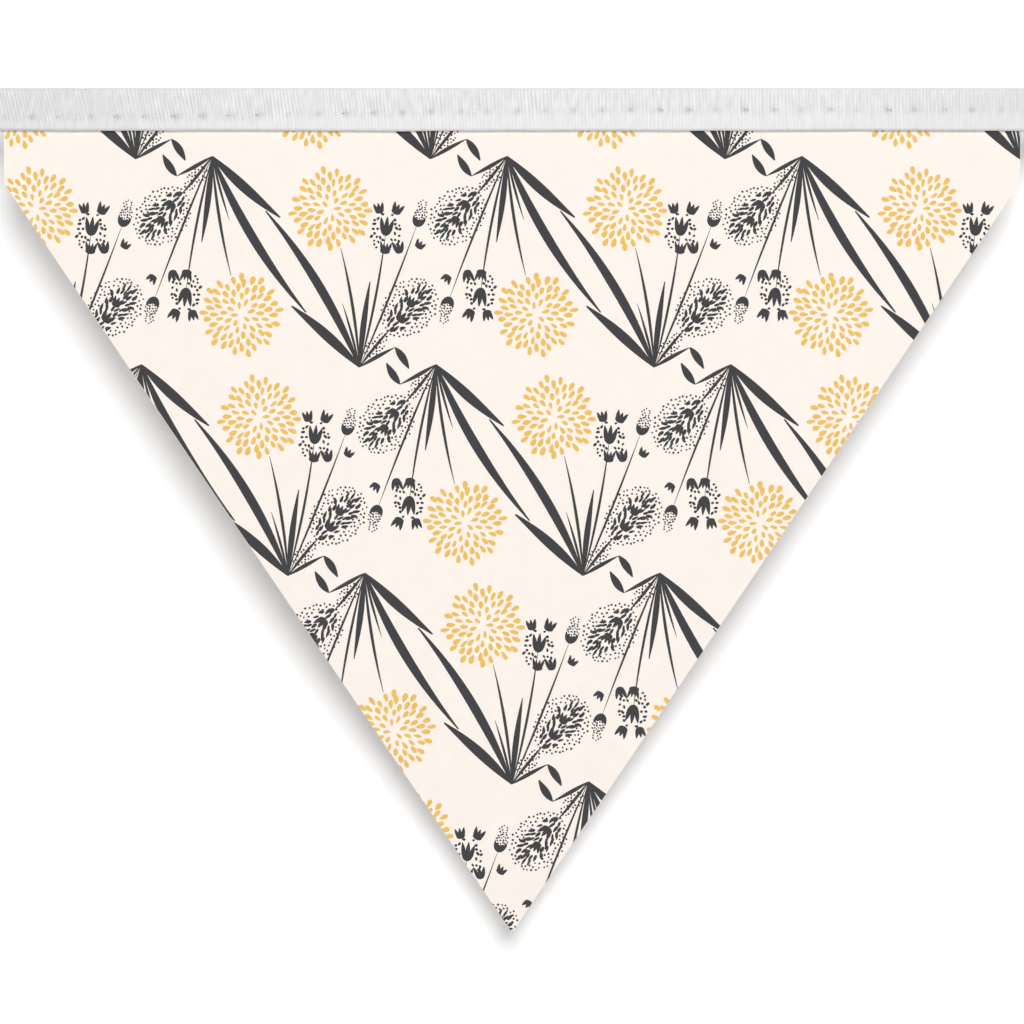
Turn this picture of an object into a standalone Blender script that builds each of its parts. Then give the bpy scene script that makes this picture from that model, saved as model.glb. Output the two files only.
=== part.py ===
"""Fabric bunting: one printed cloth flag hanging from its own length of folded ribbed tape.

Metres, +Z up.  The flag hangs in the XZ plane with its printed face towards -Y.
The origin is the middle of the tape's top edge, where the bunting is pinned or tied up.
"""

import math

import bmesh
import bpy
from mathutils import Matrix, Vector

# Driving dimensions.
FLAG_WIDTH = 0.200
FLAG_TIP_DROP = 0.1661        # from the tape's top edge down to the flag's tip
FLAG_SIDE_DROP = 0.0188       # from the tape's top edge down to the end of each short side
CLOTH = 0.001                 # thickness of the flag
TAPE_LENGTH = 0.226
TAPE_HEIGHT = 0.0087          # finished height, once folded over the flag's top edge
TAPE_WALL = 0.001             # thickness of each leg of the folded tape
SEAM_GAP = 0.0003             # clearance between the flag and the tape
TAPE_END_GAP = 0.0003         # clearance between the tape's legs, past the flag's sides
PINCH_LENGTH = 0.005          # stretch in which the legs close up past the flag's sides

# How evenly the cloth hangs.
SWAY_DEPTH = 0.0007           # soft ripples across the flag
SWAY_PITCH = 0.085
TIP_CURL = 0.0022             # the tip leans forward by this much
EDGE_WAVE = 0.00022           # waver of the tape's lower edges
EDGE_WAVE_PITCHES = (0.119, 0.047)

# Mesh fineness.
FLAG_CELLS = (34, 28)
TAPE_CELLS = (60, 16)
FOLD_SHARE = 0.5              # part of the tape's cross rows that goes round the fold

TAPE_HALF_DEPTH = CLOTH / 2 + SEAM_GAP + TAPE_WALL / 2
TAPE_END_HALF_DEPTH = TAPE_END_GAP / 2 + TAPE_WALL / 2
FLAG_TOP_DROP = TAPE_HALF_DEPTH + TAPE_WALL / 2 + 0.0002


def clear_scene():
    for item in list(bpy.data.objects):
        bpy.data.objects.remove(item, do_unlink=True)


def smooth_step(value):
    value = min(max(value, 0.0), 1.0)
    return value * value * (3.0 - 2.0 * value)


def cloth_material(name, color, roughness):
    material = bpy.data.materials.new(name)
    material.use_nodes = True
    shader = material.node_tree.nodes["Principled BSDF"]
    shader.inputs["Base Color"].default_value = (*color, 1.0)
    shader.inputs["Roughness"].default_value = roughness
    shader.inputs["Metallic"].default_value = 0.0
    return material


def cloth_object(name, sheet, thickness, material):
    """A named object whose flat sheet is thickened evenly to both sides."""
    mesh = bpy.data.meshes.new(name)
    sheet.to_mesh(mesh)
    sheet.free()
    mesh.shade_smooth()
    mesh.set_sharp_from_angle(angle=math.radians(40.0))
    mesh.materials.append(material)
    item = bpy.data.objects.new(name, mesh)
    bpy.context.scene.collection.objects.link(item)
    solid = item.modifiers.new("thickness", "SOLIDIFY")
    solid.thickness = thickness
    solid.offset = 0.0
    solid.use_even_offset = True
    return item


def hang(x, z):
    """How far the flag's middle surface stands from the plane y = 0."""
    free_length = FLAG_TIP_DROP - TAPE_HEIGHT
    drop = (-z - TAPE_HEIGHT) / free_length
    ripple = math.sin(math.tau * x / SWAY_PITCH + 3.0 * drop) * SWAY_DEPTH
    return smooth_step(drop * 1.6) * ripple - TIP_CURL * max(drop, 0.0) ** 2


def make_flag():
    """A cloth pentagon: two short upright sides, then two long slopes to the tip."""
    sheet = bmesh.new()
    bmesh.ops.create_grid(sheet, x_segments=FLAG_CELLS[0], y_segments=FLAG_CELLS[1], size=0.5)
    height = FLAG_TIP_DROP - FLAG_TOP_DROP
    bmesh.ops.scale(sheet, vec=(FLAG_WIDTH, height, 1.0), verts=sheet.verts)
    bmesh.ops.rotate(sheet, matrix=Matrix.Rotation(math.pi / 2, 3, "X"), verts=sheet.verts)
    bmesh.ops.translate(sheet, vec=(0.0, 0.0, -FLAG_TOP_DROP - height / 2), verts=sheet.verts)
    for side in (-1.0, 1.0):
        corner = Vector((side * FLAG_WIDTH / 2, 0.0, -FLAG_SIDE_DROP))
        slope = Vector((0.0, 0.0, -FLAG_TIP_DROP)) - corner
        outward = Vector((-side * slope.z, 0.0, side * slope.x))
        everything = sheet.verts[:] + sheet.edges[:] + sheet.faces[:]
        bmesh.ops.bisect_plane(sheet, geom=everything, plane_co=corner, plane_no=outward, clear_outer=True)
    bmesh.ops.remove_doubles(sheet, verts=sheet.verts, dist=0.0005)
    for vert in sheet.verts:
        vert.co.y = hang(vert.co.x, vert.co.z)
    cream = cloth_material("printed_cotton", (1.0, 0.915, 0.838), 0.9)
    return cloth_object("flag", sheet, CLOTH, cream)


def leg_spread(x):
    """Half the distance between the tape's legs; they close up past the flag's sides."""
    past = (abs(x) - FLAG_WIDTH / 2 - SEAM_GAP) / PINCH_LENGTH
    return TAPE_HALF_DEPTH + smooth_step(past) * (TAPE_END_HALF_DEPTH - TAPE_HALF_DEPTH)


def lower_edge(x, side):
    """Height of one leg's lower edge, which wavers a little along the tape."""
    waver = sum(math.sin(math.tau * x / pitch + side) for pitch in EDGE_WAVE_PITCHES)
    return -TAPE_HEIGHT + 0.5 * EDGE_WAVE * waver


def fold(x, across):
    """Where a point of the flat tape goes once the tape is folded lengthways."""
    side = math.copysign(1.0, across)
    spread = leg_spread(x)
    turn = min(abs(across) / FOLD_SHARE, 1.0) * math.pi / 2
    down_leg = max(abs(across) - FOLD_SHARE, 0.0) / (1.0 - FOLD_SHARE)
    leg_top = -TAPE_WALL / 2 - spread
    z = leg_top + spread * math.cos(turn) + down_leg * (lower_edge(x, side) - leg_top)
    return Vector((x, side * spread * math.sin(turn), z))


def make_tape():
    """A flat ribbed tape folded lengthways over the flag's top edge."""
    sheet = bmesh.new()
    bmesh.ops.create_grid(sheet, x_segments=TAPE_CELLS[0], y_segments=TAPE_CELLS[1], size=1.0)
    for vert in sheet.verts:
        vert.co = fold(vert.co.x * TAPE_LENGTH / 2, vert.co.y)
    white = cloth_material("ribbed_cotton_tape", (0.79, 0.79, 0.80), 0.85)
    return cloth_object("tape", sheet, TAPE_WALL, white)


def main():
    clear_scene()
    make_flag()
    make_tape()


main()
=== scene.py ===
"""Fabric bunting: a printed cotton pennant sewn into a folded ribbed tape.

Metres, +Z up.  The flag hangs in the XZ plane with its printed face towards -Y.
"""

import math
import random

import bmesh
import bpy
from bpy.props import FloatProperty, FloatVectorProperty, IntProperty, PointerProperty
from mathutils import Matrix, Vector, noise
from mathutils.geometry import delaunay_2d_cdt


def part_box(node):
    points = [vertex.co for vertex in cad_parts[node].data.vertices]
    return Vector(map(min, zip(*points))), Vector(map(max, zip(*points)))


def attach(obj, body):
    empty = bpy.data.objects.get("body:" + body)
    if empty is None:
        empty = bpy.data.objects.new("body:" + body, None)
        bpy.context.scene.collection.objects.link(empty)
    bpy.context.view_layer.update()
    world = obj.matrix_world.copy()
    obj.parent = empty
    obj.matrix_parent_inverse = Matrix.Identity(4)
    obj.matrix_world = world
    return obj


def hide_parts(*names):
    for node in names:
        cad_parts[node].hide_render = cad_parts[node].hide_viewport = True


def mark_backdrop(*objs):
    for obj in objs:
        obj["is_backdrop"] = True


bl_info = {
    "name": "Fabric Bunting",
    "version": (1, 0, 0),
    "blender": (4, 5, 0),
    "location": "3D View > Sidebar > Bunting",
    "description": "Makes a printed cotton bunting flag, its folded ribbed tape and the stitches between",
    "category": "Object",
}

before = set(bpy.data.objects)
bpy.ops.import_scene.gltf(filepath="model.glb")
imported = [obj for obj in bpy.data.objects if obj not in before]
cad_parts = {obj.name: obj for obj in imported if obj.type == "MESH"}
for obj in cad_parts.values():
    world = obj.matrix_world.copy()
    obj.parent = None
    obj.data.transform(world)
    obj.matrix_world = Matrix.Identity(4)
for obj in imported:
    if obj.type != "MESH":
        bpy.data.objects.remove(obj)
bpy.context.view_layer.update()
FLAG_LOW, FLAG_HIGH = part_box("flag")
TAPE_LOW, TAPE_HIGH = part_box("tape")

MM = 0.001
PAINTED_SHADE = "grooves"           # painted shade on the tape, after how deep each place lies: 0 on a rib, 1 between ribs
DARKEST_SHADE = 2.0          # darkest painted shade, in a needle hole


def linear(hex_colour):
    """An sRGB hex colour such as "#FFF5EC" as linear red, green and blue."""
    channels = [int(hex_colour[place:place + 2], 16) / 255.0 for place in (1, 3, 5)]
    return tuple(c / 12.92 if c <= 0.04045 else ((c + 0.055) / 1.055) ** 2.4 for c in channels)


def size(name, default, description):
    return FloatProperty(name=name, description=description, default=default, min=0.0,
                         subtype="DISTANCE", unit="LENGTH", precision=5)


def colour(name, hex_colour, description):
    return FloatVectorProperty(name=name, description=description, default=linear(hex_colour),
                               size=3, min=0.0, max=1.0, subtype="COLOR")


# ---------------------------------------------------------------------------
# Settings


class BUNTING_PG_flag(bpy.types.PropertyGroup):
    cloth: size("Cloth thickness", 0.5 * MM, "Thickness of the cotton")
    ripple: size("Ripple depth", 0.5 * MM, "How far the hanging cloth ripples to and fro")
    ripple_pitch: size("Ripple pitch", 85 * MM, "Distance from one ripple to the next")
    tip_curl: size("Tip curl", 1.6 * MM, "How far the tip leans forward")
    thread_pitch: size("Thread pitch", 0.6 * MM, "Spacing of the drawn weave")
    print_seed: IntProperty(name="Print seed", description="Order of the print's small accidents",
                            default=7, min=0)
    ground: colour("Cloth colour", "#F2E9E1", "Unprinted cotton")
    dark_ink: colour("Dark ink", "#404042", "Charcoal printing ink")
    gold_ink: colour("Gold ink", "#E7B860", "Golden printing ink")


class BUNTING_PG_tape(bpy.types.PropertyGroup):
    wall: size("Tape thickness", 0.42 * MM, "Thickness of one layer of the tape")
    rib_pitch: size("Rib pitch", 0.7 * MM, "Distance from one rib to the next")
    rib_height: size("Rib height", 0.08 * MM, "Height of a rib over the grooves beside it")
    edge_wave: size("Edge waver", 0.2 * MM, "How far the lower edge strays from a straight line")
    tone: colour("Tape colour", "#DDDDDD", "Ribbed off-white tape")


class BUNTING_PG_stitching(bpy.types.PropertyGroup):
    pitch: size("Stitch length", 5.6 * MM, "Distance between needle holes")
    thread: size("Thread thickness", 0.24 * MM, "Diameter of the sewing thread")
    dent: size("Needle dent", 0.18 * MM, "How deep the thread pulls the tape in at a needle hole")
    seed: IntProperty(name="Wander seed", description="Order of the needle holes' small accidents",
                      default=3, min=0)
    tone: colour("Thread colour", "#E9E9E9", "Spun sewing thread")


class BUNTING_PG_stage(bpy.types.PropertyGroup):
    view_width: size("View width", 201.6 * MM, "Width that the camera sees at the flag")
    back_light: FloatProperty(name="Back light", description="Power of the lamp behind the flag",
                              default=46.0, min=0.0, subtype="POWER", unit="POWER")


# ---------------------------------------------------------------------------
# Node helper

MULTIPLY = {"operation": "MULTIPLY"}
SINE = {"operation": "SINE"}


def add_node(tree, kind, settings=None, **links):
    """Adds a shader node; settings are its own properties, links are its sockets' values or sources."""
    node = tree.nodes.new(kind)
    for name, value in (settings or {}).items():
        setattr(node, name, value)
    for name, value in links.items():
        socket = node.inputs[int(name[1:])] if name[1:].isdigit() else node.inputs[name.replace("_", " ")]
        if isinstance(value, bpy.types.NodeSocket):
            tree.links.new(value, socket)
        else:
            socket.default_value = value
    return node


def start_material(name):
    material = bpy.data.materials.new(name)
    material.use_nodes = True
    tree = material.node_tree
    shader = tree.nodes["Principled BSDF"]
    place = add_node(tree, "ShaderNodeTexCoord").outputs["Object"]
    return material, tree, shader, place


def woven_cotton(name, tone, pitch):
    """Plain-woven cotton: matt, with a fine basket of threads that only shows close to."""
    material, tree, shader, place = start_material(name)
    apart = add_node(tree, "ShaderNodeSeparateXYZ", s0=place)
    across = add_node(tree, "ShaderNodeMath", MULTIPLY, s0=apart.outputs["X"], s1=math.pi / pitch)
    up = add_node(tree, "ShaderNodeMath", MULTIPLY, s0=apart.outputs["Z"], s1=math.pi / pitch)
    warp = add_node(tree, "ShaderNodeMath", SINE, s0=across.outputs[0])
    weft = add_node(tree, "ShaderNodeMath", SINE, s0=up.outputs[0])
    crossing = add_node(tree, "ShaderNodeMath", MULTIPLY, s0=warp.outputs[0], s1=weft.outputs[0])
    slub = add_node(tree, "ShaderNodeTexNoise", {"noise_dimensions": "3D"},
                    Vector=place, Scale=900.0, Detail=3.0)
    height = add_node(tree, "ShaderNodeMath", {"operation": "MULTIPLY_ADD"},
                      s0=slub.outputs["Fac"], s1=0.8, s2=crossing.outputs[0])
    bump = add_node(tree, "ShaderNodeBump", Strength=0.08, Distance=0.05 * MM, Height=height.outputs[0])
    mottle = add_node(tree, "ShaderNodeTexNoise", Vector=place, Scale=260.0, Detail=4.0)
    shade = add_node(tree, "ShaderNodeMapRange", Value=mottle.outputs["Fac"], From_Min=0.3, From_Max=0.7,
                     To_Min=0.985, To_Max=1.01)
    tinted = add_node(tree, "ShaderNodeVectorMath", {"operation": "SCALE"}, s0=tone, Scale=shade.outputs[0])
    tree.links.new(tinted.outputs[0], shader.inputs["Base Color"])
    tree.links.new(bump.outputs[0], shader.inputs["Normal"])
    shader.inputs["Roughness"].default_value = 0.92
    shader.inputs["Specular IOR Level"].default_value = 0.2
    return material


def ribbed_tape(name, tone):
    """Ribbed cotton tape: matt and slightly hairy, with painted shade in the grooves between the ribs of
    the mesh and in the needle dents, and painted shade towards both ends.
    """
    material, tree, shader, place = start_material(name)
    groove_shade = add_node(tree, "ShaderNodeAttribute", {"attribute_name": PAINTED_SHADE}).outputs["Fac"]
    stretched = add_node(tree, "ShaderNodeMapping", Vector=place, Scale=(1.0, 1.0, 0.22))
    streak = add_node(tree, "ShaderNodeTexNoise", Vector=stretched.outputs[0], Scale=1500.0, Detail=3.0)
    shade = add_node(tree, "ShaderNodeMapRange", Value=streak.outputs["Fac"], From_Min=0.32, From_Max=0.68,
                     To_Min=0.96, To_Max=1.02)
    # painted shade from the mesh: darker between ribs, above the seam and in needle dents, lighter along
    # the fold's top
    dark = add_node(tree, "ShaderNodeMapRange", Value=groove_shade, From_Max=DARKEST_SHADE,
                    To_Min=1.205, To_Max=0.365)
    apart = add_node(tree, "ShaderNodeSeparateXYZ", s0=place)
    # painted shade: darker towards the tape's left end and a little darker at its right end, where the
    # light falls off
    painted_shade_left = add_node(tree, "ShaderNodeMapRange", Value=apart.outputs["X"], From_Min=-0.11, From_Max=-0.04,
                      To_Min=0.92, To_Max=1.0)
    painted_shade_right = add_node(tree, "ShaderNodeMapRange", Value=apart.outputs["X"], From_Min=0.06, From_Max=0.1,
                       To_Min=1.0, To_Max=0.955)
    both = add_node(tree, "ShaderNodeMath", MULTIPLY, s0=shade.outputs[0], s1=dark.outputs[0])
    ends = add_node(tree, "ShaderNodeMath", MULTIPLY, s0=painted_shade_left.outputs[0], s1=painted_shade_right.outputs[0])
    every = add_node(tree, "ShaderNodeMath", MULTIPLY, s0=both.outputs[0], s1=ends.outputs[0])
    tinted = add_node(tree, "ShaderNodeVectorMath", {"operation": "SCALE"}, s0=tone, Scale=every.outputs[0])
    bump = add_node(tree, "ShaderNodeBump", Strength=0.25, Distance=0.05 * MM, Height=streak.outputs["Fac"])
    tree.links.new(tinted.outputs[0], shader.inputs["Base Color"])
    tree.links.new(bump.outputs[0], shader.inputs["Normal"])
    shader.inputs["Roughness"].default_value = 0.85
    shader.inputs["Specular IOR Level"].default_value = 0.25
    return material


def spun_thread(name, tone):
    """Spun sewing thread: matt, with the slant of its twist."""
    material, tree, shader, place = start_material(name)
    slant = add_node(tree, "ShaderNodeMapping", Vector=place, Rotation=(0.0, math.radians(35.0), 0.0))
    twist = add_node(tree, "ShaderNodeTexWave", {"wave_type": "BANDS", "bands_direction": "X"},
                     Vector=slant.outputs[0], Scale=900.0, Distortion=0.6)
    bump = add_node(tree, "ShaderNodeBump", Strength=0.4, Distance=0.05 * MM, Height=twist.outputs["Fac"])
    # painted shade: darker in the hollows of the twist, where the bump is low
    shade = add_node(tree, "ShaderNodeMapRange", Value=twist.outputs["Fac"], To_Min=0.94, To_Max=1.03)
    tinted = add_node(tree, "ShaderNodeVectorMath", {"operation": "SCALE"}, s0=tone, Scale=shade.outputs[0])
    tree.links.new(tinted.outputs[0], shader.inputs["Base Color"])
    tree.links.new(bump.outputs[0], shader.inputs["Normal"])
    shader.inputs["Roughness"].default_value = 0.8
    return material


# ---------------------------------------------------------------------------
# Drawing the print.  A plant is drawn in millimetres around the foot where its stems meet.

STEM, BARE, GOLD, CHARCOAL = "stem", "bare", "gold", "charcoal"    # later ones lie over earlier ones

# The repeat: bands of upright plants with hanging ones between them, each band set aside from the last.
PLANT_PITCH = 58.0            # from one plant to the next across a band
BAND_HEIGHT = 41.0
BAND_STEP = -14.0             # how far each band is set to the right of the one above
BAND_GAP = 0.5                # between the feet of hanging plants and of the upright ones above them
FIRST_FOOT = (-74.0, 14.0)    # across the flag, and down from the tape's top edge
BANDS = 5
PLANTS_ACROSS = 5

# The plant's stems and blades, fanned out from its foot, and what stands at the tip of each.
FAN = (
    # length, lean and bend to the left in degrees, width, flower
    (36.0, 22.0, 18.0, 1.8, None),
    (18.0, 44.0, 8.0, 2.0, None),
    (24.0, 4.0, 10.0, 0.6, "head"),
    (17.0, -4.0, -6.0, 1.2, None),
    (13.0, 12.0, 6.0, 0.5, None),
    (27.0, -15.0, 8.0, 0.5, "wreath"),
    (30.0, -24.0, 4.0, 0.45, "acorn"),
    (10.0, -36.0, -6.0, 0.6, "hyacinth"),
)

# The bent leaf: its outward part, then the part that hangs from the elbow.
BENT_LEAF = (
    # length, lean, bend, width
    (8.0, -58.0, -6.0, 0.8),
    (5.0, -140.0, -14.0, 1.5),
)

# The golden flower head: petals stand like the seeds of a sunflower, loose and never touching.
HEAD_REACH = 7.7
HEAD_PETALS = 76
FIRST_PETAL = 2
GOLDEN_TURN = math.pi * (3.0 - math.sqrt(5.0))

# Tulips beside the tip of a stem, given across and along it.
TULIPS = {
    # flower: (across, along, lean to the left in degrees, height, width, petals), ...
    "wreath": ((0.0, 1.2, 0.0, 3.8, 2.6, 3), (0.3, -3.0, 0.0, 2.5, 2.3, 4),
               (-1.9, 4.6, 18.0, 2.2, 2.0, 3), (1.7, 4.9, -18.0, 2.4, 2.2, 3)),
    "acorn": ((1.9, -3.2, -12.0, 1.9, 1.9, 3), (-1.9, -5.2, 30.0, 2.6, 2.1, 3)),
    "hyacinth": ((0.2, 3.0, 0.0, 2.5, 2.4, 3), (-0.4, 6.4, 12.0, 2.2, 2.0, 3)),
}
WREATH_REACH = (2.9, 3.9)
SPIKE_REACH = (2.6, 5.6)
SPIKE_CLOUD = (5.0, 6.4)      # reach of the dots around the spike
DART_SPACING = (0.6, 1.05)
DART_TRIES = 2000


def turned(points, angle, place):
    """Points turned to the left by an angle in radians, then moved."""
    cos, sin = math.cos(angle), math.sin(angle)
    return [(place[0] + x * cos - y * sin, place[1] + x * sin + y * cos) for x, y in points]


def petal(place, lean, length, width, corners=10):
    """A drop with its point down: lean turns it to the left."""
    points = []
    for step in range(corners):
        angle = math.tau * step / corners
        half_width = math.sin(angle) * abs(math.sin(angle / 2)) ** 0.6 / 0.84
        points.append((half_width * width / 2, -math.cos(angle) * length / 2))
    return turned(points, lean, place)


def dot(place, radius, corners=6, stretch=1.0, lean=0.0):
    points = []
    for step in range(corners):
        angle = math.tau * (step + 0.5) / corners
        points.append((radius * math.cos(angle), radius * stretch * math.sin(angle)))
    return turned(points, lean, place)


def tulip(chance, place, lean, height, width, petals):
    """A cup and the pointed petals that fan out of it, as pieces that overlap at the base."""
    cup = []
    cup_corners = 12
    cup_reach = width * 0.47 * (width / height) ** 0.8
    for step in range(cup_corners):
        angle = math.tau * step / cup_corners
        cup.append((math.cos(angle) * cup_reach, (math.sin(angle) * 0.24 - 0.25) * height))
    pieces = [turned(cup, lean, place)]
    for index in range(petals):
        side = 2.0 * index / (petals - 1) - 1.0
        tip = Vector((side * width * chance.uniform(0.44, 0.54), height * chance.uniform(0.36, 0.54)))
        root = Vector((side * width * 0.16, -height * 0.44))
        middle = turned([(tip + root) / 2], lean, place)[0]
        splay = math.atan2(root.x - tip.x, tip.y - root.y)
        pieces.append(petal(middle, lean + splay + math.pi, (tip - root).length, width * 1.12 / petals))
    return pieces


def smooth_line(knots, steps):
    """A smooth curve through knots of any number of columns."""
    padded = [knots[0], *knots, knots[-1]]
    line = []
    for a, b, c, d in zip(padded, padded[1:], padded[2:], padded[3:]):
        for step in range(steps):
            t = step / steps
            line.append([0.5 * (2 * q + (r - p) * t + (2 * p - 5 * q + 4 * r - s) * t * t
                                + (3 * q - p - 3 * r + s) * t ** 3) for p, q, r, s in zip(a, b, c, d)])
    line.append(list(knots[-1]))
    return line


def blade(knots):
    """A flat stroke along its knots, as wide at each as the knot says."""
    line = smooth_line(knots, 5)
    left, right = [], []
    for index, (x, y, width) in enumerate(line):
        before, after = line[max(index - 1, 0)], line[min(index + 1, len(line) - 1)]
        along = Vector((after[0] - before[0], after[1] - before[1])).normalized()
        left.append((x - along.y * width / 2, y + along.x * width / 2))
        right.append((x + along.y * width / 2, y - along.x * width / 2))
    return left + right[::-1]


def clear_of(*ovals):
    """A test of whether a point lies outside every oval, given as across, up, half width, half height."""
    return lambda x, y: all(((x - a) / rx) ** 2 + ((y - b) / ry) ** 2 > 1.0 for a, b, rx, ry in ovals)


def scatter(chance, place, reach, lean, apart, tries, keep):
    """Loose spots in a leaning oval, none nearer to another than apart, given across and along the oval."""
    spots = []
    for _ in range(tries):
        x, y = chance.uniform(-reach[0], reach[0]), chance.uniform(-reach[1], reach[1])
        inside = (x / reach[0]) ** 2 + (y / reach[1]) ** 2 < 1.0
        if inside and all(((x - a) / apart[0]) ** 2 + ((y - b) / apart[1]) ** 2 > 1.0 for a, b in spots):
            spots.append((x, y))
    return [spot for spot in turned(spots, lean, place) if keep(*spot)]


def sprinkle(chance, place, reach, lean, gap, radius, stretch, keep):
    """Specks spread loosely over a leaning oval, left out where keep says no."""
    specks = []
    tries = int(60 * reach[0] * reach[1] / gap ** 2)
    for spot in scatter(chance, place, reach, lean, (gap, gap), tries, keep):
        radius_here = radius * chance.uniform(0.85, 1.15)
        stretch_here = chance.uniform(1.0, stretch)
        turn = chance.uniform(0.0, math.pi)
        specks.append((CHARCOAL, dot(spot, radius_here, stretch=stretch_here, lean=turn)))
    return specks


def arc(start, length, lean, bend):
    """Points along a curve that leaves start at a lean and turns by bend, in degrees to the left."""
    steps = 6
    points = [start]
    for step in range(steps):
        angle = math.radians(lean + bend * (step + 0.5) / steps)
        x, y = points[-1]
        points.append((x - math.sin(angle) * length / steps, y + math.cos(angle) * length / steps))
    return points


def stroke(points, width):
    """A blade along the points, thin at both ends."""
    last = len(points) - 1
    knots = []
    for index, (x, y) in enumerate(points):
        fullness = 0.15 + 0.85 * math.sin(math.pi * (index / last) ** 0.9)
        knots.append((x, y, width * fullness))
    return blade(knots)


def beside(tip, lean, across, along):
    """The place across and along from a stem's tip."""
    return turned([(across, along)], lean, tip)[0]


def tulips_at(chance, flower, tip, lean):
    """The tulips that stand beside one stem's tip."""
    shapes = []
    for across, along, tilt, height, width, petals in TULIPS[flower]:
        place = beside(tip, lean, across, along)
        for piece in tulip(chance, place, lean + math.radians(tilt), height, width, petals):
            shapes.append((CHARCOAL, piece))
    return shapes


def clear_of_tulips(flower, tip, lean):
    ovals = []
    for across, along, _, height, width, _ in TULIPS[flower]:
        ovals.append((*beside(tip, lean, across, along), width * 0.6, height * 0.62))
    return clear_of(*ovals)


def flower_head(chance, centre, keep):
    """A round golden head of loose petals, with bare cloth left free behind it."""
    shapes = [(BARE, dot(centre, HEAD_REACH + 0.1, corners=28))]
    for number in range(FIRST_PETAL, FIRST_PETAL + HEAD_PETALS):
        share = math.sqrt(number / (FIRST_PETAL + HEAD_PETALS))
        angle = number * GOLDEN_TURN + chance.uniform(-0.03, 0.03)
        distance = HEAD_REACH * share + chance.uniform(-0.1, 0.1)
        x = centre[0] - math.sin(angle) * distance
        y = centre[1] + math.cos(angle) * distance
        length = (1.4 + 0.5 * share) * chance.uniform(0.88, 1.1)
        width = (0.7 + 0.36 * share) * chance.uniform(0.78, 1.12)
        lean = angle + chance.uniform(-0.12, 0.12)
        if not keep(x, y):
            continue
        if share > 0.85:
            shapes.append((BARE, petal((x, y), lean, length + 0.7, width + 0.6)))
        shapes.append((GOLD, petal((x, y), lean, length, width)))
    return shapes


def hyacinth(chance, tip, lean):
    """A leaning spike of darts in a cloud of dots."""
    middle = beside(tip, lean, 0.0, SPIKE_REACH[1] - 0.4)
    clear = clear_of_tulips("hyacinth", tip, lean)
    shapes = []
    for x, y in scatter(chance, middle, SPIKE_REACH, lean, DART_SPACING, DART_TRIES, clear):
        side = ((x - middle[0]) * math.cos(lean) + (y - middle[1]) * math.sin(lean)) / SPIKE_REACH[0]
        turn = lean - side * 0.65 + chance.uniform(-0.25, 0.25)
        length = chance.uniform(1.3, 1.9)
        width = chance.uniform(0.5, 0.78)
        shapes.append((CHARCOAL, petal((x, y), turn + math.pi, length, width, 8)))

    def keep(x, y):
        across = (x - middle[0]) * math.cos(lean) + (y - middle[1]) * math.sin(lean)
        along = (y - middle[1]) * math.cos(lean) - (x - middle[0]) * math.sin(lean)
        return (across / SPIKE_REACH[0]) ** 2 + (along / SPIKE_REACH[1]) ** 2 > 1.05

    return shapes + sprinkle(chance, middle, SPIKE_CLOUD, lean, 0.62, 0.225, 1.0, keep)


def acorn_bud(chance, tip, lean):
    """A dark cup with a frothy top."""
    cup = []
    rim, steps = math.radians(20.0), 10
    for step in range(steps + 1):
        angle = -math.pi - rim + (math.pi + 2 * rim) * step / steps
        cup.append((1.3 * math.cos(angle), 1.7 * math.sin(angle)))
    cup += [(0.8, 0.1), (-0.1, -0.25), (-0.9, 0.0)]
    shapes = [(CHARCOAL, turned(cup, lean, beside(tip, lean, 0.0, 1.5)))]
    anywhere = clear_of()
    shapes += sprinkle(chance, beside(tip, lean, 0.0, 2.5), (1.2, 1.2), lean, 0.42, 0.18, 1.6, anywhere)
    shapes += sprinkle(chance, beside(tip, lean, -0.5, 4.3), (0.9, 1.0), lean, 0.5, 0.2, 1.0, anywhere)
    return shapes


def plant(seed):
    """Every shape of one upright plant, as (ink, outline) pairs."""
    chance = random.Random(seed)
    foot = (0.0, 0.0)
    shapes, tips = [], {}
    for length, lean, bend, width, flower in FAN:
        points = arc(foot, length, lean, bend)
        shapes.append((STEM, stroke(points, width)))
        if flower:
            tips[flower] = (points[-1], math.radians(lean + bend))
    start = foot
    for length, lean, bend, width in BENT_LEAF:
        points = arc(start, length, lean, bend)
        shapes.append((STEM, stroke(points, width)))
        start = points[-1]
    wreath = tips["wreath"][0]
    shapes += hyacinth(chance, *tips["hyacinth"])
    head = beside(*tips["head"], 0.0, HEAD_REACH)
    shapes += flower_head(chance, head, clear_of((*wreath, *WREATH_REACH)))
    for flower in TULIPS:
        shapes += tulips_at(chance, flower, *tips[flower])
    shapes += acorn_bud(chance, *tips["acorn"])
    bare_place = clear_of_tulips("wreath", *tips["wreath"])
    shapes += sprinkle(chance, wreath, WREATH_REACH, 0.0, 0.68, 0.27, 1.7, bare_place)
    foot_of_spike = beside(*tips["hyacinth"], 0.0, -4.6)
    shapes += sprinkle(chance, foot_of_spike, (1.5, 2.8), tips["hyacinth"][1], 0.55, 0.2, 1.3, clear_of())
    return shapes


def plant_places():
    """The turn and the foot of every plant in the repeat."""
    places = []
    for band in range(BANDS):
        down = FIRST_FOOT[1] + band * BAND_HEIGHT
        for number in range(PLANTS_ACROSS):
            across = FIRST_FOOT[0] + band * BAND_STEP + (number - 1) * PLANT_PITCH
            places.append((0.0, (across, -down)))
            places.append((math.pi, (across + PLANT_PITCH / 2, BAND_HEIGHT + BAND_GAP - down)))
    return places


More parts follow.
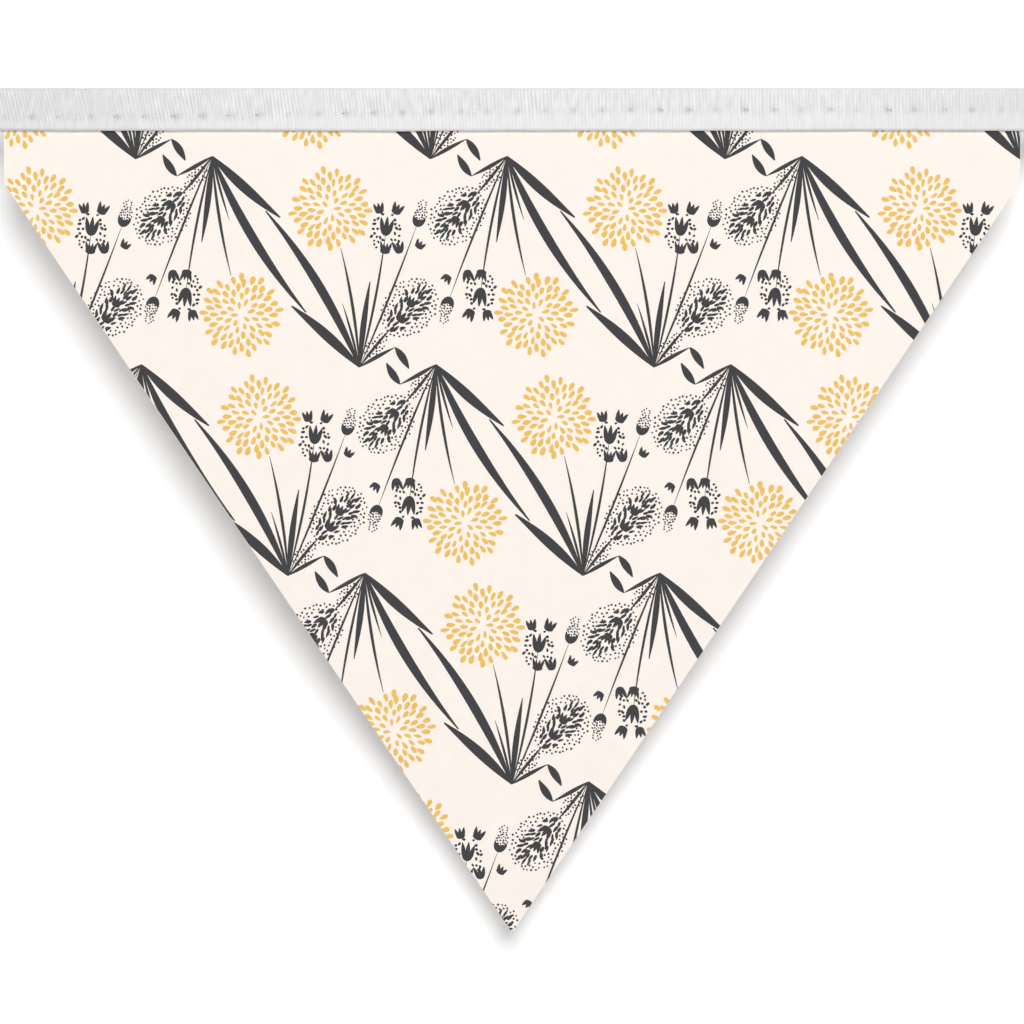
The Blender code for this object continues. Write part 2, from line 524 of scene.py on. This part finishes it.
def printed_shapes(outline, seed):
    """The print over the whole flag, as (ink, outline) pairs in millimetres."""
    shapes = []
    drawn = plant(seed)
    for turn, foot in plant_places():
        for ink, points in drawn:
            placed = [Vector(p) for p in turned(points, turn, foot)]
            if touches(placed, outline):
                shapes.append((ink, placed))
    return shapes


def touches(points, outline):
    """Whether a shape may touch the flag: for each side of the outline some point is on its inner side."""
    for a, b in zip(outline, outline[1:] + outline[:1]):
        edge = b - a
        if all(edge.x * (p.y - a.y) - edge.y * (p.x - a.x) < 0.0 for p in points):
            return False
    return True


# ---------------------------------------------------------------------------
# Flag

MM_PER_M = 1000.0
CUT_STEP = 4.0                # millimetres between the mesh's points where no print cuts it

# The flag on its texture map: the front fills most of it, the plain back and the rim lie in its corners.
MAP_WIDTH = 0.98
FRONT_ON_MAP = (0.01, 0.18)
BACK_SCALE = 0.38
BACK_ON_MAP = (0.01, 0.01)
RIM_STRIP = (0.45, 0.01, 0.03)    # left end, front edge and back edge
RIM_HALF_LENGTH = 0.25
RIM_MIDDLE_UP = 0.03              # metres over the middle of the flag's height


def smooth_step(value):
    value = min(max(value, 0.0), 1.0)
    return value * value * (3.0 - 2.0 * value)


def hang(settings, x, z):
    """How far the flag's middle surface stands from the plane y = 0."""
    drop = (TAPE_LOW.z - z) / (TAPE_LOW.z - FLAG_LOW.z)
    ripple = math.sin(math.tau * x / settings.ripple_pitch + 3.0 * drop) * settings.ripple
    return smooth_step(drop * 1.6) * ripple - settings.tip_curl * max(drop, 0.0) ** 2


def flag_outline():
    """The flag's corners in millimetres, counter-clockwise, read from the frame."""
    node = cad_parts["flag"].data.vertices
    side_end = min(v.co.z for v in node if v.co.x < FLAG_LOW.x + 0.1 * MM)
    middle = (FLAG_LOW.x + FLAG_HIGH.x) / 2
    corners = ((FLAG_LOW.x, FLAG_HIGH.z), (FLAG_LOW.x, side_end), (middle, FLAG_LOW.z),
               (FLAG_HIGH.x, side_end), (FLAG_HIGH.x, FLAG_HIGH.z))
    return [Vector(corner) * MM_PER_M for corner in corners]


def grid_inside(outline, step):
    """Points of a square grid that lie well inside the outline, so the cloth can bend."""
    low = Vector((min(p.x for p in outline), min(p.y for p in outline)))
    high = Vector((max(p.x for p in outline), max(p.y for p in outline)))
    points = []
    for row in range(1, int((high.y - low.y) / step) + 1):
        for column in range(1, int((high.x - low.x) / step) + 1):
            point = low + Vector((column, row)) * step
            margins = []
            for a, b in zip(outline, outline[1:] + outline[:1]):
                edge = (b - a).normalized()
                margins.append(edge.x * (point.y - a.y) - edge.y * (point.x - a.x))
            if min(margins) > step / 3:
                points.append(point)
    return points


def divided(outline, step):
    """The outline with extra points along its sides."""
    points = []
    for a, b in zip(outline, outline[1:] + outline[:1]):
        parts = max(1, round((b - a).length / step))
        points += [a.lerp(b, part / parts) for part in range(parts)]
    return points


def twice_area(outline):
    """Twice the area inside an outline, positive where it runs counter-clockwise."""
    return sum(a.x * b.y - b.x * a.y for a, b in zip(outline, outline[1:] + outline[:1]))


def cut_sheet(outline, shapes, grid_step):
    """A flat triangle mesh of the outline, with every shape's edge cut into it.

    Gives the points in millimetres, the triangles, and the ink of each triangle.
    """
    points = list(outline)
    faces = [list(range(len(outline)))]
    for _, shape in shapes:
        faces.append(list(range(len(points), len(points) + len(shape))))
        points += shape if twice_area(shape) > 0.0 else shape[::-1]
    points += grid_inside(outline, grid_step)
    spots, _, triangles, _, _, owners = delaunay_2d_cdt(points, [], faces, 0, 1e-4, True)
    kept, inks = [], []
    for triangle, owner in zip(triangles, owners):
        if 0 not in owner:
            continue
        found = {shapes[index - 1][0] for index in owner if index > 0}
        kept.append(triangle)
        inks.append(ink_on_top(found))
    return spots, kept, inks


def ink_on_top(found):
    """The ink that shows where shapes overlap; bare cloth keeps the stems off the flower heads."""
    for ink in (CHARCOAL, GOLD, BARE, STEM):
        if ink in found:
            return ink
    return BARE


def add_layer(sheet, settings, points, triangles, offset, flip):
    """One side of the cloth: flat triangles lifted onto the hanging surface."""
    verts = []
    for point in points:
        x, z = point.x * MM, point.y * MM
        verts.append(sheet.verts.new((x, hang(settings, x, z) + offset, z)))
    faces = []
    for triangle in triangles:
        corners = [verts[index] for index in triangle]
        faces.append(sheet.faces.new(corners[::-1] if flip else corners))
    return faces


def edge_loop(faces):
    """The verts around a patch of faces, in order."""
    after = {}
    for face in faces:
        for loop in face.loops:
            if len(loop.edge.link_faces) == 1:
                after[loop.vert] = loop.link_loop_next.vert
    start = next(iter(after))
    ring = [start]
    while after[ring[-1]] is not start:
        ring.append(after[ring[-1]])
    return ring


def lay_on_map(bake_map, faces, scale, corner):
    """Lays one side of the flag on the texture map, as seen from its own printed or plain side."""
    unit = scale * MAP_WIDTH / (FLAG_HIGH.x - FLAG_LOW.x)
    for face in faces:
        for loop in face.loops:
            x, z = loop.vert.co.x - FLAG_LOW.x, loop.vert.co.z - FLAG_LOW.z
            loop[bake_map].uv = (corner[0] + x * unit, corner[1] + z * unit)


def lay_rim_on_map(bake_map, faces, front_verts):
    """Lays the narrow rim along a strip at the foot of the texture map."""
    middle = Vector(((FLAG_LOW.x + FLAG_HIGH.x) / 2, 0.0, (FLAG_LOW.z + FLAG_HIGH.z) / 2 + RIM_MIDDLE_UP))
    for face in faces:
        first = None
        for loop in face.loops:
            offset = loop.vert.co - middle
            round_share = math.atan2(offset.z, offset.x) / math.tau
            if first is not None and abs(round_share - first) > 0.5:
                round_share += math.copysign(1.0, first - round_share)
            first = round_share if first is None else first
            up = RIM_STRIP[1] if loop.vert in front_verts else RIM_STRIP[2]
            loop[bake_map].uv = (RIM_STRIP[0] + RIM_HALF_LENGTH * (1 + 2 * round_share), up)


def make_flag(settings):
    outline = flag_outline()
    shapes = printed_shapes(outline, settings.print_seed)
    fine_outline = divided(outline, CUT_STEP)
    points, triangles, inks = cut_sheet(fine_outline, shapes, CUT_STEP)
    sheet = bmesh.new()
    bake_map = sheet.loops.layers.uv.new("OFBake")
    half = settings.cloth / 2
    front = add_layer(sheet, settings, points, triangles, -half, False)
    slots = {BARE: 0, CHARCOAL: 1, STEM: 1, GOLD: 2}
    for face, ink in zip(front, inks):
        face.material_index = slots[ink]
    sheet.normal_update()
    if sum(face.normal.y for face in front) > 0.0:
        bmesh.ops.reverse_faces(sheet, faces=front)
    for vert in [v for v in sheet.verts if not v.link_faces]:
        sheet.verts.remove(vert)
    ring = edge_loop(front)
    flat_ring = [Vector((v.co.x, v.co.z)) * MM_PER_M for v in ring]
    back_points, back_triangles, _ = cut_sheet(flat_ring, [], CUT_STEP)
    back = add_layer(sheet, settings, back_points, back_triangles, half, True)
    sheet.normal_update()
    if sum(face.normal.y for face in back) < 0.0:
        bmesh.ops.reverse_faces(sheet, faces=back)
    back_ring = edge_loop(back)
    rim = bmesh.ops.bridge_loops(sheet, edges=ring_edges(ring) + ring_edges(back_ring))["faces"]
    for face in rim:
        face.material_index = slots[BARE]
    bmesh.ops.recalc_face_normals(sheet, faces=sheet.faces)
    lay_on_map(bake_map, front, 1.0, FRONT_ON_MAP)
    lay_on_map(bake_map, back, BACK_SCALE, BACK_ON_MAP)
    lay_rim_on_map(bake_map, rim, set(ring))
    mesh = bpy.data.meshes.new("flag_cloth")
    sheet.to_mesh(mesh)
    sheet.free()
    mesh.shade_smooth()
    mesh.set_sharp_from_angle(angle=math.radians(40.0))
    item = bpy.data.objects.new("flag_cloth", mesh)
    bpy.context.scene.collection.objects.link(item)
    return item, outline


def ring_edges(ring):
    edges = []
    for a, b in zip(ring, ring[1:] + ring[:1]):
        edges.append(next(edge for edge in a.link_edges if edge.other_vert(a) is b))
    return edges


class BUNTING_OT_flag(bpy.types.Operator):
    """Cuts the printed flag and hangs it in the frame"""
    bl_idname = "bunting.flag"
    bl_label = "Printed flag"
    bl_options = {"REGISTER", "UNDO"}

    def execute(self, context):
        settings = context.scene.bunting_flag
        item, outline = make_flag(settings)
        inks = (
            ("unprinted_cotton", settings.ground),
            ("charcoal_ink_on_cotton", settings.dark_ink),
            ("gold_ink_on_cotton", settings.gold_ink),
        )
        for name, tone in inks:
            item.data.materials.append(woven_cotton(name, tuple(tone), settings.thread_pitch))
        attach(item, "root")
        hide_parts("flag")
        return {"FINISHED"}


# ---------------------------------------------------------------------------
# Tape


FOLD_SHARE = 0.2              # part of the tape's cross rows that goes round the fold
LEG_TOP, LEG_BOTTOM = -1.1 * MM, -8.5 * MM
ROW_CROWDING = 0.065          # how strongly the mesh's rows crowd together at the seam
TAPE_CLEARANCE = 0.35 * MM    # between the flag and each leg of the tape, at the fold
EDGE_CLEARANCE = 0.07 * MM    # the same at the tape's lower edge


def stitch_line(x):
    """Height of the seam, which runs lower down the tape at its left end."""
    return -4.45 * MM - 1.45 * MM * smooth_step((30 * MM - x) / (130 * MM))


def seam_down_leg(x):
    """Where the seam lies on a leg of the tape, from 0 at the fold to 1 at the edge."""
    return (LEG_TOP - stitch_line(x)) / (LEG_TOP - LEG_BOTTOM)


def needle_holes(settings):
    """Needle holes along the seam as (place, tightness) pairs; a hand-fed machine wanders a little."""
    chance = random.Random(settings.seed)
    count = int((TAPE_HIGH.x - TAPE_LOW.x) / settings.pitch)
    start = TAPE_LOW.x + (TAPE_HIGH.x - TAPE_LOW.x - count * settings.pitch) / 2 + settings.pitch * 0.15
    holes = []
    for index in range(count + 1):
        place = start + index * settings.pitch + chance.uniform(-0.2, 0.2) * MM
        holes.append((place, chance.uniform(0.3, 1.0)))
    return holes


def leg_spread(tape, flag, x, down_leg):
    """Distance from the middle plane to the middle of a leg.

    The legs press closer towards the tape's lower edge, and close up past the flag.
    """
    clearance = TAPE_CLEARANCE + down_leg * (EDGE_CLEARANCE - TAPE_CLEARANCE)
    full = flag.cloth / 2 + clearance + tape.wall / 2
    closed = EDGE_CLEARANCE + tape.wall / 2
    past = (abs(x) - FLAG_HIGH.x - 0.3 * MM) / (5 * MM)
    return full + smooth_step(past) * (closed - full)


def pull_in(stitching, holes, x, z):
    """How far the seam pulls the tape inwards at a place on a leg."""
    below = (z - stitch_line(x)) / MM
    place, tightness = min(holes, key=lambda hole: abs(x - hole[0]))
    aside = (x - place) / MM
    dent = tightness * stitching.dent * math.exp(-(aside / 0.65) ** 2 - (below / 0.58) ** 2)
    channel = 0.008 * MM * math.exp(-(below / 0.7) ** 2)
    return dent + channel


def rib_strength(x, z):
    """The ribs fade below the seam, where the tape is pressed flat."""
    return 1.0 - 0.58 * smooth_step((stitch_line(x) - z) / (1.5 * MM))


def rib(tape, x, along):
    """Height of the ribs, from -1 to 1; they slant towards the left end and come and go like slubs."""
    slant = 0.04 + 0.2 * smooth_step((20 * MM - x) / (130 * MM))
    drift = noise.noise(Vector((x / (5 * MM), along / (12 * MM), 0.0)))
    wander = 0.6 * drift + along * slant / tape.rib_pitch
    wave = math.cos(math.tau * (x / tape.rib_pitch + wander))
    patch = 0.7 + 1.1 * noise.noise(Vector((x / (6 * MM), along / (6 * MM), 5.0)))
    slub = noise.noise(Vector((x / (0.8 * MM), along / (2.6 * MM), 3.0)))
    return min(max(0.7 * patch * wave + 0.6 * slub, -1.0), 1.0)


def fold(tape, flag, stitching, holes, x, across):
    """Where a point of the flat tape goes once it is folded and sewn, and how much painted shade it gets
    from how deep it lies.
    """
    side = math.copysign(1.0, across)
    turn = min(abs(across) / FOLD_SHARE, 1.0) * math.pi / 2
    down_leg = max(abs(across) - FOLD_SHARE, 0.0) / (1.0 - FOLD_SHARE)
    spread = leg_spread(tape, flag, x, down_leg)
    leg_top = -tape.wall / 2 - tape.rib_height - leg_spread(tape, flag, x, 0.0)
    long_waver = noise.noise(Vector((x / (45 * MM), side * 5.0, 0.0)))
    short_waver = noise.noise(Vector((x / (9 * MM), side, 7.0)))
    bottom = LEG_BOTTOM + tape.edge_wave * (long_waver + 0.4 * short_waver)
    z = leg_top + spread * math.cos(turn) + down_leg * (bottom - leg_top)
    outward = Vector((0.0, side * math.sin(turn), math.cos(turn)))
    place = Vector((x, side * spread * math.sin(turn), z))
    strength = rib_strength(x, z)
    height = rib(tape, x, abs(across) * TAPE_LOW.z)
    pulled = pull_in(stitching, holes, x, z) if down_leg > 0.0 else 0.0
    # painted shade: darker between ribs, above the seam and in needle dents, lighter along the fold's top;
    # the ribs' painted shade weakens towards the right end
    groove_shade_weight = 1.0 - 0.4 * smooth_step((x - 10 * MM) / (90 * MM))
    groove_shade = math.sin(turn) ** 2 * (0.3 + 0.2 * strength - 0.5 * groove_shade_weight * strength * height)
    raised = place + outward * (tape.rib_height * strength * height - pulled)
    return raised, groove_shade + 0.75 * pulled / stitching.dent


def crowded(x, across):
    """Moves a row of the mesh nearer to the seam, where the needle holes need fine rows."""
    seam_row = FOLD_SHARE + (1.0 - FOLD_SHARE) * seam_down_leg(x)
    away = abs(across) - seam_row
    if abs(away) > 1.0 - seam_row:
        return across
    nearer = abs(across) - ROW_CROWDING * math.sin(math.pi * away / (1.0 - seam_row))
    return math.copysign(nearer, across)


def make_tape(tape, flag, stitching):
    holes = needle_holes(stitching)
    sheet = bmesh.new()
    # each vertex's painted shade, read by the tape's material
    grooves = sheet.verts.layers.float.new(PAINTED_SHADE)
    columns = round((TAPE_HIGH.x - TAPE_LOW.x) / (tape.rib_pitch / 3.2))
    bmesh.ops.create_grid(sheet, x_segments=columns, y_segments=40, size=1.0)
    half_length = (TAPE_HIGH.x - TAPE_LOW.x) / 2
    for vert in sheet.verts:
        x = vert.co.x * half_length
        vert.co, vert[grooves] = fold(tape, flag, stitching, holes, x, crowded(x, vert.co.y))
    mesh = bpy.data.meshes.new("folded_tape")
    sheet.to_mesh(mesh)
    sheet.free()
    mesh.shade_smooth()
    mesh.set_sharp_from_angle(angle=math.radians(60.0))
    item = bpy.data.objects.new("folded_tape", mesh)
    bpy.context.scene.collection.objects.link(item)
    solid = item.modifiers.new("thickness", "SOLIDIFY")
    solid.thickness = tape.wall
    solid.offset = 0.0
    return item


class BUNTING_OT_tape(bpy.types.Operator):
    """Folds the ribbed tape over the flag's top edge"""
    bl_idname = "bunting.tape"
    bl_label = "Folded tape"
    bl_options = {"REGISTER", "UNDO"}

    def execute(self, context):
        scene = context.scene
        item = make_tape(scene.bunting_tape, scene.bunting_flag, scene.bunting_stitching)
        item.data.materials.append(ribbed_tape("ribbed_cotton_tape", tuple(scene.bunting_tape.tone)))
        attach(item, "root")
        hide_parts("tape")
        return {"FINISHED"}


# ---------------------------------------------------------------------------
# Stitching


def sweep(sheet, line, radius, sides):
    """A closed thread along a line, made by pushing a ring from place to place."""
    ring = bmesh.ops.create_circle(sheet, cap_ends=True, segments=sides, radius=radius)["verts"]
    bmesh.ops.rotate(sheet, verts=ring, matrix=Matrix.Rotation(math.pi / 2, 3, "Y"))
    bmesh.ops.translate(sheet, verts=ring, vec=line[0])
    face = next(iter(ring[0].link_faces))
    for before, after in zip(line, line[1:]):
        pushed = bmesh.ops.extrude_face_region(sheet, geom=[face])["geom"]
        verts = [part for part in pushed if isinstance(part, bmesh.types.BMVert)]
        face = next(part for part in pushed if isinstance(part, bmesh.types.BMFace))
        bmesh.ops.translate(sheet, verts=verts, vec=after - before)


def stitch(tape, flag, side, start, end):
    """The line of one stitch: up out of one needle hole, along the tape, down into the next."""
    line = []
    steps = 9
    for step in range(steps + 1):
        share = step / steps
        x = start + (end - start) * share
        rise = min(share, 1.0 - share) * (end - start)
        sunk = 0.3 * MM * math.exp(-(rise / (0.36 * MM)) ** 2) + 0.115 * MM
        y = leg_spread(tape, flag, x, seam_down_leg(x)) + tape.wall / 2 - sunk
        line.append(Vector((x, side * y, stitch_line(x))))
    return line


def make_stitching(tape, flag, stitching):
    sheet = bmesh.new()
    holes = needle_holes(stitching)
    radius = stitching.thread / 2
    for side in (-1.0, 1.0):
        for (start, _), (end, _) in zip(holes, holes[1:]):
            line = stitch(tape, flag, side, start + 0.05 * MM, end - 0.05 * MM)
            sweep(sheet, line, radius, 8)
    bmesh.ops.recalc_face_normals(sheet, faces=sheet.faces)
    mesh = bpy.data.meshes.new("seam_stitches")
    sheet.to_mesh(mesh)
    sheet.free()
    mesh.shade_smooth()
    item = bpy.data.objects.new("seam_stitches", mesh)
    bpy.context.scene.collection.objects.link(item)
    return item


class BUNTING_OT_stitching(bpy.types.Operator):
    """Sews the tape to the flag with one line of machine stitches"""
    bl_idname = "bunting.stitching"
    bl_label = "Stitching"
    bl_options = {"REGISTER", "UNDO"}

    def execute(self, context):
        scene = context.scene
        item = make_stitching(scene.bunting_tape, scene.bunting_flag, scene.bunting_stitching)
        item.data.materials.append(spun_thread("spun_sewing_thread", tuple(scene.bunting_stitching.tone)))
        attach(item, "root")
        return {"FINISHED"}


# ---------------------------------------------------------------------------
# Stage


WALL_SIZE = (4.0, 1.1)
WALL_MIDDLE = -0.15
WALL_GAP = 0.0105             # from the flag's plane to the wall card at the flag's top
WALL_NEARER = 0.0060          # how much closer the card stands at the flag's tip
WALL_BEND = (0.085, 0.09)     # how far down it starts to come closer, and over what height
FLOOR_REACH, FLOOR_UP = 6.0, -0.6
BOUNCE_CARD_REACH, BOUNCE_CARD_UP = 3.0, -0.599
LIGHT_STOP_GAP = 0.0013

# Corners of the black card: across, up.
STOP_CORNERS = ((-0.094, -0.010), (-0.094, -0.017), (0.0, -0.161), (0.094, -0.017), (0.094, -0.010))

LAMPS = (
    # name, place from the flag's middle, width, power, whether it casts a shadow
    ("key_lamp", (0.30, -2.0, 1.35), 1.7, 50.0, True),
    ("fill_lamp", (-0.4, -2.4, 0.1), 2.0, 13.0, False),
)
BACK_LAMP_PLACE = (-0.5, 2.2, 0.8)
BACK_LAMP_WIDTH = 2.0


def paper(name, tone, glow=0.0, see_through_back=False):
    """Matt card, lit a little from inside where it glows; the camera may see through its back."""
    material, tree, shader, _ = start_material(name)
    shader.inputs["Base Color"].default_value = (tone, tone, tone, 1.0)
    shader.inputs["Roughness"].default_value = 1.0
    shader.inputs["Specular IOR Level"].default_value = 0.0
    shader.inputs["Emission Color"].default_value = (1.0, 1.0, 1.0, 1.0)
    shader.inputs["Emission Strength"].default_value = glow
    if see_through_back:
        facing = add_node(tree, "ShaderNodeNewGeometry").outputs["Backfacing"]
        clear = add_node(tree, "ShaderNodeBsdfTransparent").outputs[0]
        mixed = add_node(tree, "ShaderNodeMixShader", s0=facing, s1=shader.outputs[0], s2=clear)
        tree.links.new(mixed.outputs[0], tree.nodes["Material Output"].inputs["Surface"])
    return material


def add_mesh(name, sheet, material):
    mesh = bpy.data.meshes.new(name)
    sheet.to_mesh(mesh)
    sheet.free()
    mesh.materials.append(material)
    mesh.shade_smooth()
    item = bpy.data.objects.new(name, mesh)
    bpy.context.scene.collection.objects.link(item)
    return item


def make_wall():
    """A white card behind the flag, which catches its shadow."""
    sheet = bmesh.new()
    bmesh.ops.create_grid(sheet, x_segments=1, y_segments=60, size=0.5)
    bmesh.ops.rotate(sheet, verts=sheet.verts, matrix=Matrix.Rotation(math.pi / 2, 3, "X"))
    for vert in sheet.verts:
        z = WALL_MIDDLE + vert.co.z * WALL_SIZE[1]
        vert.co.x *= WALL_SIZE[0]
        closing = smooth_step((-z - WALL_BEND[0]) / WALL_BEND[1])
        vert.co.y = WALL_GAP - WALL_NEARER * closing
        vert.co.z = z
    item = add_mesh("wall_card", sheet, paper("white_wall_card", 0.975, see_through_back=True))
    item.visible_diffuse = False
    item.visible_glossy = False
    item.visible_transmission = False
    item.visible_shadow = False
    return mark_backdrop(item)


def make_light_stop():
    """A black card close behind the flag: no light bounces off its back into the shadow on the wall."""
    sheet = bmesh.new()
    corners = [sheet.verts.new((x, LIGHT_STOP_GAP, z)) for x, z in STOP_CORNERS]
    face = sheet.faces.new(corners)
    face.normal_update()
    if face.normal.y < 0.0:
        bmesh.ops.reverse_faces(sheet, faces=[face])
    item = add_mesh("light_stop", sheet, paper("black_card", 0.0, see_through_back=True))
    item.visible_camera = False
    item.visible_glossy = False
    item.visible_shadow = False
    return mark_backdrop(item)


def make_floor():
    """A pale floor that glows a little, so it stays pale far from the lamps; its glow lights nothing."""
    sheet = bmesh.new()
    bmesh.ops.create_grid(sheet, x_segments=1, y_segments=1, size=FLOOR_REACH)
    bmesh.ops.translate(sheet, verts=sheet.verts, vec=(0.0, 0.0, FLOOR_UP))
    item = add_mesh("floor", sheet, paper("pale_floor", 0.2, glow=0.68))
    item.visible_diffuse = False
    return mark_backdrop(item)


def make_bounce_card():
    """A pale card lying just over the floor, which only throws the key lamp's light back up."""
    sheet = bmesh.new()
    bmesh.ops.create_grid(sheet, x_segments=1, y_segments=1, size=BOUNCE_CARD_REACH)
    bmesh.ops.translate(sheet, verts=sheet.verts, vec=(0.0, 0.0, BOUNCE_CARD_UP))
    item = add_mesh("bounce_card", sheet, paper("pale_bounce_card", 0.85))
    item.visible_camera = False
    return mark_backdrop(item)


def aim(item, target):
    item.rotation_euler = (Vector(target) - item.location).to_track_quat("-Z", "Y").to_euler()


def add_lamp(name, place, target, width, power, casts_shadow=True):
    light = bpy.data.lights.new(name, "AREA")
    light.shape = "DISK"
    light.size = width
    light.energy = power
    light.use_shadow = casts_shadow
    lamp = bpy.data.objects.new(name, light)
    bpy.context.scene.collection.objects.link(lamp)
    lamp.location = place
    aim(lamp, target)
    return lamp


class BUNTING_OT_stage(bpy.types.Operator):
    """Sets up the white card, the floor, the lamps and the camera"""
    bl_idname = "bunting.stage"
    bl_label = "Stage"
    bl_options = {"REGISTER", "UNDO"}

    def execute(self, context):
        scene = context.scene
        centre = Vector((0.0, 0.0, -83.5 * MM))
        make_wall()
        make_light_stop()
        make_floor()
        make_bounce_card()
        for name, place, width, power, casts_shadow in LAMPS:
            add_lamp(name, centre + Vector(place), centre, width, power, casts_shadow)
        back_light = scene.bunting_stage.back_light
        add_lamp("back_lamp", centre + Vector(BACK_LAMP_PLACE), centre, BACK_LAMP_WIDTH, back_light)
        world = bpy.data.worlds.new("white_room")
        world.use_nodes = True
        background = world.node_tree.nodes["Background"]
        camera_ray = add_node(world.node_tree, "ShaderNodeLightPath").outputs["Is Camera Ray"]
        strength = add_node(world.node_tree, "ShaderNodeMapRange", Value=camera_ray,
                            To_Min=0.045, To_Max=1.0)
        world.node_tree.links.new(strength.outputs[0], background.inputs["Strength"])
        background.inputs["Color"].default_value = (1.0, 1.0, 1.0, 1.0)
        scene.world = world
        scene.view_settings.view_transform = "Standard"
        camera = bpy.data.cameras.new("camera")
        camera.lens = 135.0
        camera.clip_start = 0.01
        viewer = bpy.data.objects.new("camera", camera)
        scene.collection.objects.link(viewer)
        distance = scene.bunting_stage.view_width * camera.lens / camera.sensor_width
        viewer.location = centre + Vector((0.0, -distance, 0.0))
        aim(viewer, centre)
        scene.camera = viewer
        return {"FINISHED"}


class BUNTING_PT_panel(bpy.types.Panel):
    bl_idname = "BUNTING_PT_panel"
    bl_label = "Bunting"
    bl_space_type = "VIEW_3D"
    bl_region_type = "UI"
    bl_category = "Bunting"

    def draw(self, context):
        for group, operator in PIECES:
            box = self.layout.box()
            settings = getattr(context.scene, group)
            for name in settings.__annotations__:
                box.prop(settings, name)
            box.operator(operator)


PIECES = (
    ("bunting_flag", "bunting.flag"),
    ("bunting_tape", "bunting.tape"),
    ("bunting_stitching", "bunting.stitching"),
    ("bunting_stage", "bunting.stage"),
)
GROUPS = {
    "bunting_flag": BUNTING_PG_flag,
    "bunting_tape": BUNTING_PG_tape,
    "bunting_stitching": BUNTING_PG_stitching,
    "bunting_stage": BUNTING_PG_stage,
}
CLASSES = (
    *GROUPS.values(),
    BUNTING_OT_flag,
    BUNTING_OT_tape,
    BUNTING_OT_stitching,
    BUNTING_OT_stage,
    BUNTING_PT_panel,
)


def register():
    for kind in CLASSES:
        bpy.utils.register_class(kind)
    for name, group in GROUPS.items():
        setattr(bpy.types.Scene, name, PointerProperty(type=group))


def unregister():
    for name in GROUPS:
        delattr(bpy.types.Scene, name)
    for kind in reversed(CLASSES):
        bpy.utils.unregister_class(kind)


def main():
    register()
    bpy.ops.bunting.flag()
    bpy.ops.bunting.tape()
    bpy.ops.bunting.stitching()
    bpy.ops.bunting.stage()


if __name__ == "__main__":
    main()
